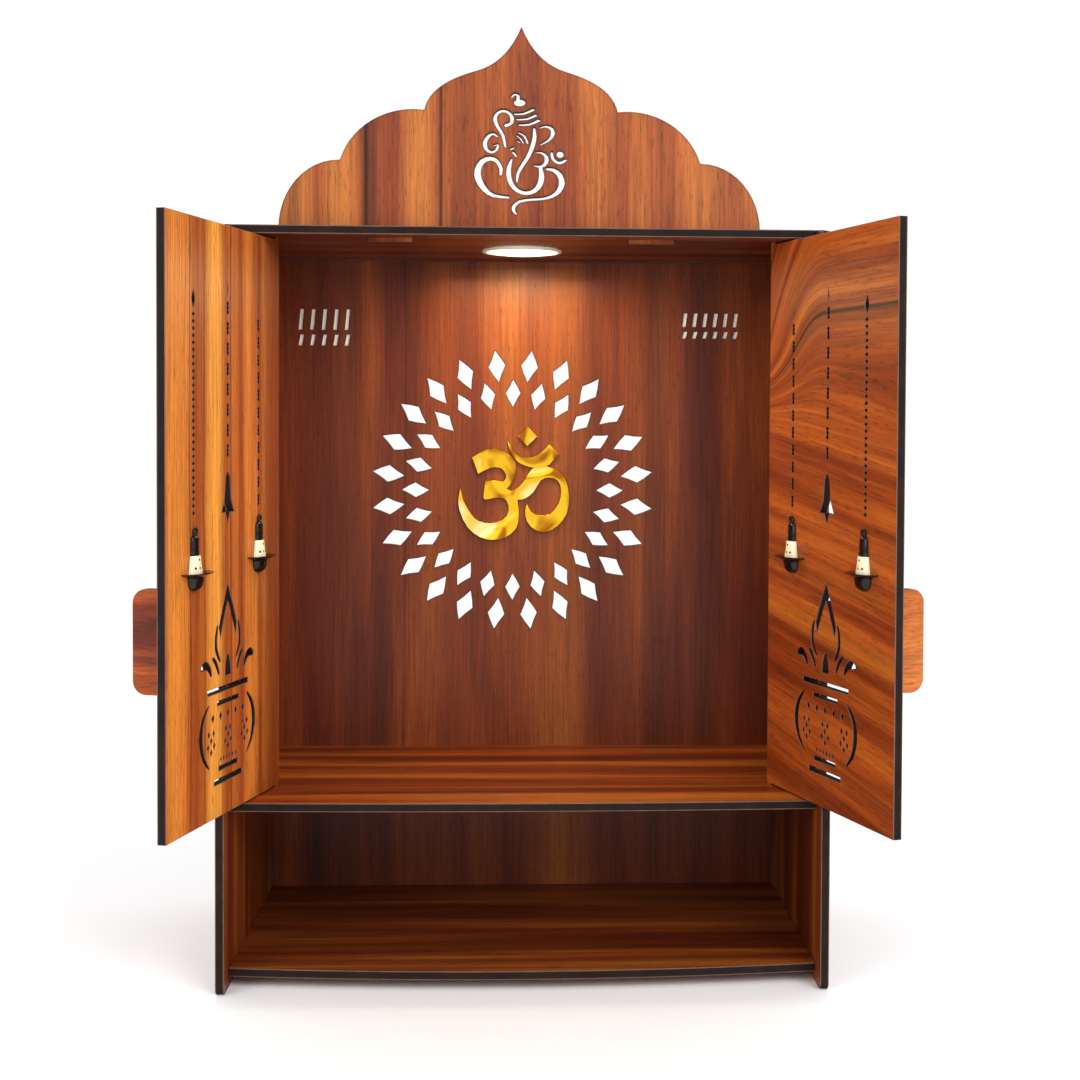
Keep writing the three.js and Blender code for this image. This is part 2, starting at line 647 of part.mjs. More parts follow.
function lampBody(inward) {
  const foot = GAP - 1.2;
  const profile = [[0, foot], [7.4, foot], [7, 1.6], [6.1, 6], [5.5, 10 - GAP], [0, 10 - GAP]];
  let body = halfRound(profile, 14);
  for (const [x, z] of [[0, 7.4], [-3.4, 2.6], [0.4, 2.6], [4.2, 2.6]]) {
    const hole = uprightBoard(ellipse(x, z, 0.8, 0.9, 6), 2, 6);
    body = body.subtract(solid(hole));
  }
  return onDoor(body, inward);
}

function lampCup(inward) {
  const profile = [
    [0, -10.8], [3.4, -10.4], [6.4, -9], [8.2, -6.4], [8.6, -3.4], [9.6, -2.5], [SAUCER_HALF, -0.5],
    [SAUCER_HALF, 0], [15, 0], [8, -1.2], [0, -1.2],
  ];
  return onDoor(halfRound(profile, 20), inward);
}

const cabinet = new THREE.Group();

cabinet.add(named('side_panel_left', sidePanel(-1), wood()));
cabinet.add(named('side_panel_right', sidePanel(1), wood()));
cabinet.add(named('back_panel', backPanel(), wood()));
cabinet.add(named('top_panel', topPanel(), wood()));
const middleOutline = levelOutline(MIDDLE_FRONT_ENDS, MIDDLE_BOW, BACK_FACE - GAP);
cabinet.add(named('middle_shelf', levelBoard(MIDDLE_SHELF_TOP, middleOutline, true), wood()));
const bottomOutline = levelOutline(BOTTOM_FRONT_ENDS, BOTTOM_BOW, BACK_FACE - GAP);
cabinet.add(named('bottom_shelf', levelBoard(BOTTOM_SHELF_TOP, bottomOutline, false), wood()));
cabinet.add(named('crown_arch', crownArch(), wood()));
cabinet.add(named('om_emblem', emblem(), material(GOLD, 0.15, 1)));
cabinet.add(named('om_emblem_dot', emblemDot(), material(GOLD, 0.15, 1)));

const ceiling = TOP_HEIGHT - BOARD - GAP;
const ringProfile = [
  [LENS_RADIUS + GAP, 0], [LENS_RADIUS + GAP, -1.8], [LIGHT_RADIUS, -1.4], [LIGHT_RADIUS, 0],
  [LENS_RADIUS + GAP, 0],
];
const ring = lathe(ringProfile, 28).translate(LIGHT_X, LIGHT_Y, ceiling);
cabinet.add(named('led_ring', ring, material(OFF_WHITE, 0.3)));
const lensProfile = [[0, -3.6], [9, -3.3], [17, -2.4], [LENS_RADIUS, -1], [LENS_RADIUS, 0], [0, 0]];
const lens = lathe(lensProfile, 28).translate(LIGHT_X, LIGHT_Y, ceiling);
cabinet.add(named('led_lens', lens, material(OFF_WHITE, 0.2)));

for (const side of [-1, 1]) {
  const word = side < 0 ? 'left' : 'right';
  const leaf = new THREE.Group();
  const angle = THREE.MathUtils.degToRad(side < 0 ? -OPEN_LEFT : 180 + OPEN_RIGHT);
  leaf.position.set(side * PIVOT_X, PIVOT_Y, doorBottom);
  leaf.rotation.z = angle;
  leaf.add(named(`door_${word}`, door(), wood()));
  const grip = named(`door_handle_${word}`, handle(side), wood());
  grip.rotation.z = 0;
  grip.position.set(DOOR_WIDTH - PIVOT_INSET - HANDLE_FROM_EDGE, 0, HANDLE_CENTRE);
  leaf.add(grip);
  for (const [place, { along, saucer }] of [['outer', LAMP_OUTER], ['inner', LAMP_INNER]]) {
    const lamp = new THREE.Group();
    lamp.position.set(along, 0, saucer);
    lamp.add(named(`lamp_hook_${word}_${place}`, lampHook(-side), black()));
    lamp.add(named(`lamp_body_${word}_${place}`, lampBody(-side), material(OFF_WHITE, 0.3)));
    lamp.add(named(`lamp_cup_${word}_${place}`, lampCup(-side), black()));
    leaf.add(lamp);
  }
  cabinet.add(leaf);
}

// The origin is the middle of the underside of the whole outline, with the doors open
const part = new THREE.Group();
part.add(cabinet);
part.updateMatrixWorld(true);
const reach = new THREE.Box3().setFromObject(part, true);
cabinet.position.set(-(reach.min.x + reach.max.x) / 2, -(reach.min.y + reach.max.y) / 2, 0);

export default part;
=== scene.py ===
"""Household altar cabinet: the looks of each board, the hanging lamps, the emblem and the light."""

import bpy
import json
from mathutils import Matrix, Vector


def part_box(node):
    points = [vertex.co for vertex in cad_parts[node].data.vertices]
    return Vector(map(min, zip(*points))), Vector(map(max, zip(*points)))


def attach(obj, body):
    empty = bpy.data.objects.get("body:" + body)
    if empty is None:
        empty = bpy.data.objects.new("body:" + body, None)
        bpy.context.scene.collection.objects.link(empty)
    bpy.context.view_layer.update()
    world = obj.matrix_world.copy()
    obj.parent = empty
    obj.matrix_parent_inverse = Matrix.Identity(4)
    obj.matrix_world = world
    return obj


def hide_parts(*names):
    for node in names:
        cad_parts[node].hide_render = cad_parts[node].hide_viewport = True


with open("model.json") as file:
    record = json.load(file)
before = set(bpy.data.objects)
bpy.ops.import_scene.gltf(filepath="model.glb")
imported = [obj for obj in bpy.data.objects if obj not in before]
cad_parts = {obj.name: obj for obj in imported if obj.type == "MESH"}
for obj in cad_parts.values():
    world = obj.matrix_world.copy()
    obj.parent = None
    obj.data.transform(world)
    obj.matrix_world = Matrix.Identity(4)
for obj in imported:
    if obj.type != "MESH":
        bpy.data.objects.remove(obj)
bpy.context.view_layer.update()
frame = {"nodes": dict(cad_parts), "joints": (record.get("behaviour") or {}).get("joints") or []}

import json
import math

import bpy
from bpy.props import FloatProperty, FloatVectorProperty, IntProperty, PointerProperty
from mathutils import Matrix, Vector

bl_info = {
    "name": "Household altar cabinet",
    "version": (1, 0, 0),
    "blender": (4, 5, 0),
    "location": "View3D > Sidebar > Altar",
    "description": "Dresses the altar cabinet's boards, doors, lamps, emblem and light",
    "category": "Object",
}

MM = 0.001
WELD = 0.002 * MM
FLAT = 0.99
EDGE_ANGLE = math.radians(28)
ROUND_ANGLE = math.radians(35)
UP = Vector((0, 0, 1))
ACROSS = Vector((1, 0, 0))
BACKWARD = Vector((0, 1, 0))


def linear(code, alpha=1.0):
    """A colour's sRGB hex value as linear red, green, blue and alpha."""
    parts = [int(code[i:i + 2], 16) / 255 for i in (1, 3, 5)]
    return tuple(c / 12.92 if c <= 0.04045 else ((c + 0.055) / 1.055) ** 2.4 for c in parts) + (alpha,)


def colour(name, description, code):
    """A colour property with its default."""
    return FloatVectorProperty(
        name=name, description=description, subtype="COLOR", size=4, min=0, max=1, default=linear(code)
    )


def length(name, description, value):
    """A length property in metres; the default is given in millimetres."""
    return FloatProperty(
        name=name, description=description, default=value * MM, min=0, unit="LENGTH", precision=5
    )


def strength(name, description, value):
    """A light's strength property."""
    return FloatProperty(name=name, description=description, default=value, min=0)


class AltarSizes(bpy.types.PropertyGroup):
    """Sizes that the frame leaves open."""

    chamfer: length("Edge chamfer", "Softening of the boards' rims", 0.22)
    skin: length("Laminate skin", "Thickness of the laminate on each face", 0.6)
    lamp_depth: FloatProperty(
        name="Lamp depth", description="Depth of the half-round lamps against their width",
        default=0.575, min=0.2, max=1, subtype="FACTOR",
    )
    lamp_sides: IntProperty(
        name="Lamp sides", description="Sides of a turned lamp form", default=56, min=12,
    )
    lamp_outer: length("Outer lamp", "Distance of the outer lamps from the hinge line", 126.3)
    lamp_inner: length("Inner lamp", "Distance of the inner lamps from the hinge line", 32.5)
    saucer_outer: length("Outer saucer height", "Rim height over the door's bottom edge", 150)
    saucer_inner: length("Inner saucer height", "Rim height over the door's bottom edge", 152.8)


class AltarColours(bpy.types.PropertyGroup):
    """Colours of the finishes."""

    vein: colour("Vein", "Darkest lines of the walnut print", "#2C1209")
    dark: colour("Dark wood", "Dark streaks of the walnut print", "#6C2E13")
    red: colour("Red wood", "Red-brown of the walnut print", "#8F401D")
    orange: colour("Orange wood", "Main orange-brown of the walnut print", "#B65F29")
    light: colour("Light wood", "Light orange stripes of the walnut print", "#D98538")
    yellow: colour("Yellow wood", "Brightest stripe of the walnut print", "#E69A42")
    core: colour("Cut edge", "Charred fibreboard of the cut edges", "#18110E")
    # The laminate line is partly the laminate's own section and partly a painted highlight: it is kept
    # lighter than the core to stand for the light caught along the chamfered rims
    line: colour("Laminate line", "The laminate's own section at the cut edges", "#704838")
    gold: colour("Gold mirror", "Mirrored acrylic of the emblem", "#FFC22C")
    ivory: colour("Ivory", "Ivory acrylic of the lamp bodies", "#F4E9C4")
    black: colour("Black", "Black acrylic of the lamp fittings", "#110C0A")
    opal: colour("Opal", "Diffuser of the downlight", "#FFE9C4")
    paint: colour("Paint", "Pale fill of the engraved strokes", "#FFF6F0")
    floor: colour("Floor", "Studio floor", "#FBFBFC")


class AltarStudio(bpy.types.PropertyGroup):
    """Strength of the studio lights."""

    ambient: strength("Ambient", "Strength of the white surroundings", 1.03)
    key: strength("Key light", "Watts of the soft box at front right", 34)
    fill: strength("Fill light", "Watts of the soft box at front left", 16)
    downlight: strength("Downlight", "Watts of the light in the shrine", 0.3)
    haze: strength("Haze", "Watts of the wide soft glow round the downlight", 0.17)


# Selecting and placing

def alone(piece):
    """Makes a piece the only selected object and the active one."""
    bpy.ops.object.select_all(action="DESELECT")
    piece.select_set(True)
    bpy.context.view_layer.objects.active = piece


def editing(modes=(False, False, True)):
    """Enters edit mode with vertices, edges or faces to select, and nothing selected."""
    bpy.context.tool_settings.mesh_select_mode = modes
    bpy.ops.object.mode_set(mode="EDIT")
    bpy.ops.mesh.select_all(action="DESELECT")


def done_editing():
    bpy.ops.object.mode_set(mode="OBJECT")


def clear_choice(mesh):
    for group in (mesh.vertices, mesh.edges, mesh.polygons):
        group.foreach_set("select", [False] * len(group))


def broad_axis(mesh):
    """The normal of a board's largest face, and how far the board reaches along it."""
    axis = max(mesh.polygons, key=lambda face: face.area).normal.copy()
    reach = [vertex.co.dot(axis) for vertex in mesh.vertices]
    return axis, min(reach), max(reach)


def board_from(node, name, sizes):
    """A copy of a CAD board: vertices welded, rims chamfered, cut walls divided at the skins."""
    piece = bpy.data.objects.new(name, frame["nodes"][node].data.copy())
    bpy.context.collection.objects.link(piece)
    mesh = piece.data
    mesh.name = name
    mesh.materials.clear()
    alone(piece)
    if mesh.has_custom_normals:
        bpy.ops.mesh.customdata_custom_splitnormals_clear()
    editing()
    bpy.ops.mesh.select_all(action="SELECT")
    bpy.ops.mesh.remove_doubles(threshold=WELD)
    done_editing()

    axis, low, high = broad_axis(mesh)
    for level, outward in ((low, -axis), (high, axis)):
        clear_choice(mesh)
        for face in mesh.polygons:
            on_level = abs(face.center.dot(axis) - level) < 0.01 * MM
            face.select = on_level and face.normal.dot(outward) > FLAT
        bpy.context.tool_settings.mesh_select_mode = (False, False, True)
        bpy.ops.object.mode_set(mode="EDIT")
        bpy.ops.transform.translate(value=outward * -sizes.chamfer)
        bpy.ops.mesh.inset(thickness=sizes.chamfer, depth=0)
        bpy.ops.transform.translate(value=outward * sizes.chamfer)
        bpy.ops.mesh.delete(type="FACE")
        bpy.context.tool_settings.mesh_select_mode = (False, True, False)
        bpy.ops.mesh.select_all(action="DESELECT")
        bpy.ops.mesh.select_non_manifold()
        bpy.ops.mesh.fill(use_beauty=True)
        bpy.ops.mesh.select_all(action="SELECT")
        bpy.ops.mesh.normals_make_consistent(inside=False)
        bpy.ops.mesh.bisect(plane_co=axis * level - outward * sizes.skin, plane_no=axis)
        done_editing()
    return piece, axis, low, high


def give_slots(piece, axis, low, high, skin, materials):
    """Laminate on broad faces, its section (lightened as a painted highlight) at the rims, core on cut walls,
    fill in engraved floors.
    """
    for look in materials:
        piece.data.materials.append(look)
    for face in piece.data.polygons:
        lean = abs(face.normal.dot(axis))
        depth = face.center.dot(axis)
        inset = min(depth - low, high - depth)
        if lean > FLAT:
            face.material_index = 0 if inset < 0.05 * MM or len(materials) < 4 else 3
        elif lean > 0.2 or inset < skin * 0.95:
            face.material_index = 1
        else:
            face.material_index = 2
    alone(piece)
    bpy.ops.object.shade_smooth_by_angle(angle=EDGE_ANGLE)


# Materials

def new_material(name):
    look = bpy.data.materials.get(name)
    if look:
        return look, None
    look = bpy.data.materials.new(name)
    look.use_nodes = True
    look.node_tree.nodes.clear()
    return look, look.node_tree


def add(tree, kind, sockets=None, ramp=None, **settings):
    """Adds a node, with its settings, its sockets' values or links, and a colour ramp's stops."""
    made = tree.nodes.new(kind)
    for key, value in settings.items():
        setattr(made, key, value)
    for socket, value in (sockets or {}).items():
        if isinstance(value, bpy.types.NodeSocket):
            tree.links.new(value, made.inputs[socket])
        else:
            made.inputs[socket].default_value = value
    if ramp:
        stops = made.color_ramp.elements
        while len(stops) < len(ramp):
            stops.new(0.5)
        for stop, (position, tint) in zip(stops, ramp):
            stop.position = position
            stop.color = tint
    return made


def shown(tree, shader):
    add(tree, "ShaderNodeOutputMaterial", {"Surface": shader})


def grey(value):
    return (value, value, value, 1)


def laminate(name, look, colours):
    """Walnut-print melamine laminate on fibreboard: a printed paper under a clear satin resin.

    The print gives streaks and growth lines along the grain and short dark pores; the resin gives one
    even sheen over all of them, broken only by the pores that the press plate embossed.
    """
    material, tree = new_material(name)
    if tree is None:
        return material
    across, along, origin = look["across"], look["along"], look["origin"]
    turn = Matrix((across, along.cross(across), along))
    place = add(tree, "ShaderNodeTexCoord").outputs["Object"]
    board = add(tree, "ShaderNodeMapping", {
        "Vector": place, "Location": -(turn @ origin), "Rotation": turn.to_euler(),
    }).outputs["Vector"]
    parts = add(tree, "ShaderNodeSeparateXYZ", {"Vector": board}).outputs
    side, run = parts["X"], parts["Z"]

    # Growth lines wander by a few millimetres over a hand's breadth
    drift = add(tree, "ShaderNodeMapping", {
        "Vector": board, "Scale": (11, 11, 3.2), "Location": look["seed"],
    })
    drift = add(tree, "ShaderNodeTexNoise", {"Vector": drift.outputs[0], "Scale": 1, "Detail": 2.5})
    side = add(tree, "ShaderNodeMath", {
        0: drift.outputs["Fac"], 1: look["wander"] * MM, 2: side,
    }, operation="MULTIPLY_ADD").outputs[0]
    side = add(tree, "ShaderNodeMath", {0: side, 1: look["wander"] * MM / 2}, operation="SUBTRACT").outputs[0]
    if "sweep" in look:
        low, high, slope, bend, reach = look["sweep"]
        upper = add(tree, "ShaderNodeMapRange", {
            "Value": parts["X"], "From Min": low * MM, "From Max": high * MM,
        }, interpolation_type="SMOOTHSTEP").outputs[0]
        off = add(tree, "ShaderNodeMath", {0: run, 1: reach * MM}, operation="SUBTRACT").outputs[0]
        off = add(tree, "ShaderNodeMath", {0: off, 1: 0}, operation="MINIMUM").outputs[0]
        arch = add(tree, "ShaderNodeMath", {0: off, 1: off}, operation="MULTIPLY").outputs[0]
        arch = add(tree, "ShaderNodeMath", {0: arch, 1: bend}, operation="MULTIPLY").outputs[0]
        tilt = add(tree, "ShaderNodeMath", {0: run, 1: slope}, operation="MULTIPLY").outputs[0]
        change = add(tree, "ShaderNodeMix", {"Factor": upper, "A": tilt, "B": arch}).outputs[0]
        side = add(tree, "ShaderNodeMath", {0: side, 1: change}, operation="ADD").outputs[0]
    wood = add(tree, "ShaderNodeCombineXYZ", {"X": side, "Y": parts["Y"], "Z": run}).outputs[0]

    # Broad streaks, some 20 mm wide and several hands long
    broad = add(tree, "ShaderNodeMapping", {
        "Vector": wood, "Scale": (1 / (look["streak"] * MM), 4, 1 / 0.45), "Location": look["seed"],
    })
    broad = add(tree, "ShaderNodeTexNoise", {
        "Vector": broad.outputs[0], "Scale": 1, "Detail": 2, "Roughness": 0.45,
    }).outputs["Fac"]
    tint = add(tree, "ShaderNodeValToRGB", {"Fac": broad}, ramp=look["ramp"]).outputs["Color"]

    # Growth lines: contours of the same field, each a slow rise and a sharp dark end
    rings = add(tree, "ShaderNodeMath", {0: broad, 1: look["rings"]}, operation="MULTIPLY").outputs[0]
    rings = add(tree, "ShaderNodeMath", {0: rings}, operation="FRACT").outputs[0]
    rings = add(tree, "ShaderNodeValToRGB", {"Fac": rings}, ramp=[
        (0, grey(0.86)), (0.12, grey(1)), (0.7, grey(0.96)), (0.93, grey(0.74)), (1, grey(0.86)),
    ]).outputs["Color"]
    tint = add(tree, "ShaderNodeMix", {
        "Factor": look["ring_depth"], 6: tint, 7: rings,
    }, data_type="RGBA", blend_type="MULTIPLY").outputs[2]

    # Placed streaks and veins, one of them painted shade: distance from the hinge or middle line, half width,
    # colour, share
    for at, half, shade, share in look["streaks"]:
        off = add(tree, "ShaderNodeMath", {0: side, 1: at * MM}, operation="SUBTRACT").outputs[0]
        off = add(tree, "ShaderNodeMath", {0: off}, operation="ABSOLUTE").outputs[0]
        mask = add(tree, "ShaderNodeMapRange", {
            "Value": off, "From Min": half * 0.25 * MM, "From Max": half * 1.3 * MM,
            "To Min": share, "To Max": 0,
        }, interpolation_type="SMOOTHSTEP").outputs[0]
        tint = add(tree, "ShaderNodeMix", {"Factor": mask, 6: tint, 7: shade}, data_type="RGBA").outputs[2]

    # Fine fibre lines, about 1.5 mm apart and a finger long
    fibre = add(tree, "ShaderNodeMapping", {"Vector": wood, "Scale": (1 / (1.5 * MM), 300, 1 / 0.075)})
    fibre = add(tree, "ShaderNodeTexNoise", {"Vector": fibre.outputs[0], "Scale": 1, "Detail": 2})
    fibre = add(tree, "ShaderNodeMapRange", {
        "Value": fibre.outputs["Fac"], "From Min": 0.3, "From Max": 0.7, "To Min": 0.72, "To Max": 1.2,
    }).outputs[0]
    tint = add(tree, "ShaderNodeVectorMath", {0: tint, "Scale": fibre}, operation="SCALE").outputs[0]

    # Pores: dashes 0.6 mm wide, drawn a little coarser than real, and about 9 mm long
    pore = add(tree, "ShaderNodeMapping", {"Vector": wood, "Scale": (1 / (0.75 * MM), 600, 1 / (9 * MM))})
    pore = add(tree, "ShaderNodeTexNoise", {"Vector": pore.outputs[0], "Scale": 1, "Detail": 1})
    pore = add(tree, "ShaderNodeMapRange", {
        "Value": pore.outputs["Fac"], "From Min": 0.58, "From Max": 0.72, "To Min": 1, "To Max": look["pore"],
    }, interpolation_type="SMOOTHSTEP").outputs[0]
    tint = add(tree, "ShaderNodeVectorMath", {0: tint, "Scale": pore}, operation="SCALE").outputs[0]
    # Each board's colour factor: partly its own colour, and on the carcass boards inside the cabinet painted
    # shade that darkens them, the top most of all
    tint = add(tree, "ShaderNodeMix", {
        "Factor": 1, 6: tint, 7: look["tone"],
    }, data_type="RGBA", blend_type="MULTIPLY").outputs[2]

    # The laser's scorch along every cut, about a millimetre wide
    if look["scorch"]:
        near = add(tree, "ShaderNodeAmbientOcclusion", {
            "Distance": 1.6 * MM,
        }, inside=True, only_local=True, samples=6)
        near = add(tree, "ShaderNodeMapRange", {
            "Value": near.outputs["AO"], "From Min": 0.5, "From Max": 0.97,
            "To Min": 1 - look["scorch"], "To Max": 1,
        }).outputs[0]
        tint = add(tree, "ShaderNodeVectorMath", {0: tint, "Scale": near}, operation="SCALE").outputs[0]

    sheen = add(tree, "ShaderNodeMapRange", {
        "Value": fibre, "From Min": 0.72, "From Max": 1.2, "To Min": 0.46, "To Max": 0.36,
    }).outputs[0]
    relief = add(tree, "ShaderNodeBump", {"Strength": 0.25, "Distance": 0.12 * MM, "Height": pore}).outputs[0]
    shader = add(tree, "ShaderNodeBsdfPrincipled", {
        "Base Color": tint, "Roughness": sheen, "Normal": relief, "IOR": 1.5, "Specular IOR Level": 0.25,
    })
    shown(tree, shader.outputs[0])
    return material


def cut_edge(colours):
    """Fibreboard edge charred by the laser: matt charcoal with faint brown patches and fine fibres."""
    material, tree = new_material("laser-charred fibreboard edge")
    if tree is None:
        return material
    place = add(tree, "ShaderNodeTexCoord").outputs["Object"]
    patch = add(tree, "ShaderNodeTexNoise", {"Vector": place, "Scale": 70, "Detail": 3}).outputs["Fac"]
    brown = tuple(c * 1.9 for c in colours.core[:3]) + (1,)
    tint = add(tree, "ShaderNodeValToRGB", {"Fac": patch}, ramp=[(0.35, tuple(colours.core)), (0.8, brown)])
    grain = add(tree, "ShaderNodeTexNoise", {"Vector": place, "Scale": 1800, "Detail": 2}).outputs["Fac"]
    relief = add(tree, "ShaderNodeBump", {"Strength": 0.4, "Distance": 0.1 * MM, "Height": grain}).outputs[0]
    shader = add(tree, "ShaderNodeBsdfPrincipled", {
        "Base Color": tint.outputs[0], "Roughness": 0.8, "Normal": relief, "Specular IOR Level": 0.15,
    })
    shown(tree, shader.outputs[0])
    return material


def skin_line_and_painted_highlight(colours):
    """Section of the laminate sheet: resin-soaked brown paper, a thin lighter line along the dark core, whose
    lightness is partly a painted highlight along the rims.
    """
    material, tree = new_material("cut section of walnut laminate with painted highlight")
    if tree is None:
        return material
    place = add(tree, "ShaderNodeTexCoord").outputs["Object"]
    patch = add(tree, "ShaderNodeTexNoise", {"Vector": place, "Scale": 120, "Detail": 3}).outputs["Fac"]
    dull = tuple(c * 0.55 for c in colours.line[:3]) + (1,)
    tint = add(tree, "ShaderNodeValToRGB", {"Fac": patch}, ramp=[(0.3, dull), (0.7, tuple(colours.line))])
    shader = add(tree, "ShaderNodeBsdfPrincipled", {"Base Color": tint.outputs[0], "Roughness": 0.5})
    shown(tree, shader.outputs[0])
    return material


def gold_mirror(colours):
    """Gold mirrored acrylic: a metallised sheet, clear and glossy, slightly wavy where it is glued down; the
    darker streaks and pale patches that follow the waves are painted reflections and painted highlights in
    its colour.
    """
    material, tree = new_material("gold mirrored acrylic")
    if tree is None:
        return material
    place = add(tree, "ShaderNodeTexCoord").outputs["Object"]
    wave_and_painted_reflection = add(tree, "ShaderNodeTexNoise", {
        "Vector": place, "Scale": 30, "Detail": 1.5, "Distortion": 1.2,
    }).outputs["Fac"]
    relief = add(tree, "ShaderNodeBump", {"Strength": 0.5, "Distance": 3 * MM, "Height": wave_and_painted_reflection}).outputs[0]
    # The colour ramp paints reflections: darker streaks as painted reflections of the surroundings, pale
    # patches as painted highlights
    deep = tuple(c * f for c, f in zip(colours.gold[:3], (0.42, 0.26, 0.3))) + (1,)
    pale = tuple(min(1, c + 0.3) for c in colours.gold[:3]) + (1,)
    tint = add(tree, "ShaderNodeValToRGB", {"Fac": wave_and_painted_reflection}, ramp=[
        (0.34, deep), (0.44, tuple(colours.gold)), (0.54, tuple(colours.gold)), (0.64, pale),
    ])
    shader = add(tree, "ShaderNodeBsdfPrincipled", {
        "Base Color": tint.outputs[0], "Metallic": 1, "Roughness": 0.14, "Normal": relief,
    })
    shown(tree, shader.outputs[0])
    return material


def glossy(name, base, roughness, speckle, specular=0.5):
    """Cast acrylic, laser cut and polished: deep, even colour with faint dust and a sharp sheen."""
    material, tree = new_material(name)
    if tree is None:
        return material
    place = add(tree, "ShaderNodeTexCoord").outputs["Object"]
    dust = add(tree, "ShaderNodeTexNoise", {"Vector": place, "Scale": 320, "Detail": 4}).outputs["Fac"]
    pale = tuple(min(1, c * (1 + speckle) + speckle * 0.01) for c in base[:3]) + (1,)
    tint = add(tree, "ShaderNodeValToRGB", {"Fac": dust}, ramp=[(0.4, tuple(base)), (0.75, pale)])
    rough = add(tree, "ShaderNodeMapRange", {
        "Value": dust, "From Min": 0.3, "From Max": 0.7, "To Min": roughness * 0.8, "To Max": roughness * 1.3,
    }).outputs[0]
    shader = add(tree, "ShaderNodeBsdfPrincipled", {
        "Base Color": tint.outputs[0], "Roughness": rough, "IOR": 1.49, "Specular IOR Level": specular,
    })
    shown(tree, shader.outputs[0])
    return material


def opal_diffuser(colours):
    """Opal polycarbonate over the diodes: evenly bright, with faint cloudy patches."""
    material, tree = new_material("opal polycarbonate diffuser")
    if tree is None:
        return material
    place = add(tree, "ShaderNodeTexCoord").outputs["Object"]
    cloud = add(tree, "ShaderNodeTexNoise", {"Vector": place, "Scale": 60, "Detail": 2}).outputs["Fac"]
    warm = tuple(c * f for c, f in zip(colours.opal[:3], (1, 0.93, 0.8))) + (1,)
    tint = add(tree, "ShaderNodeValToRGB", {"Fac": cloud}, ramp=[(0.3, warm), (0.7, tuple(colours.opal))])
    shader = add(tree, "ShaderNodeBsdfPrincipled", {
        "Base Color": tint.outputs[0], "Roughness": 0.3, "IOR": 1.58,
        "Emission Color": tint.outputs[0], "Emission Strength": 5.0,
    })
    shown(tree, shader.outputs[0])
    return material


# Where the boards are

def door_frame(side):
    """A door's hinge point, the way along the leaf, and the way out of its inner face."""
    joint = next(j for j in frame["joints"] if j["name"] == side + "_door_hinge")
    pivot = Vector(joint["pos_m"])
    low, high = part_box("lamp_cup_" + side + "_outer")
    node = frame["nodes"]["door_" + side].data
    normal = max(node.polygons, key=lambda face: face.area).normal.copy()
    if normal.dot((low + high) / 2 - pivot) < 0:
        normal.negate()
    along = UP.cross(normal)
    if along.dot((low + high) / 2 - pivot) < 0:
        along.negate()
    return pivot, along.normalized(), normal.normalized()


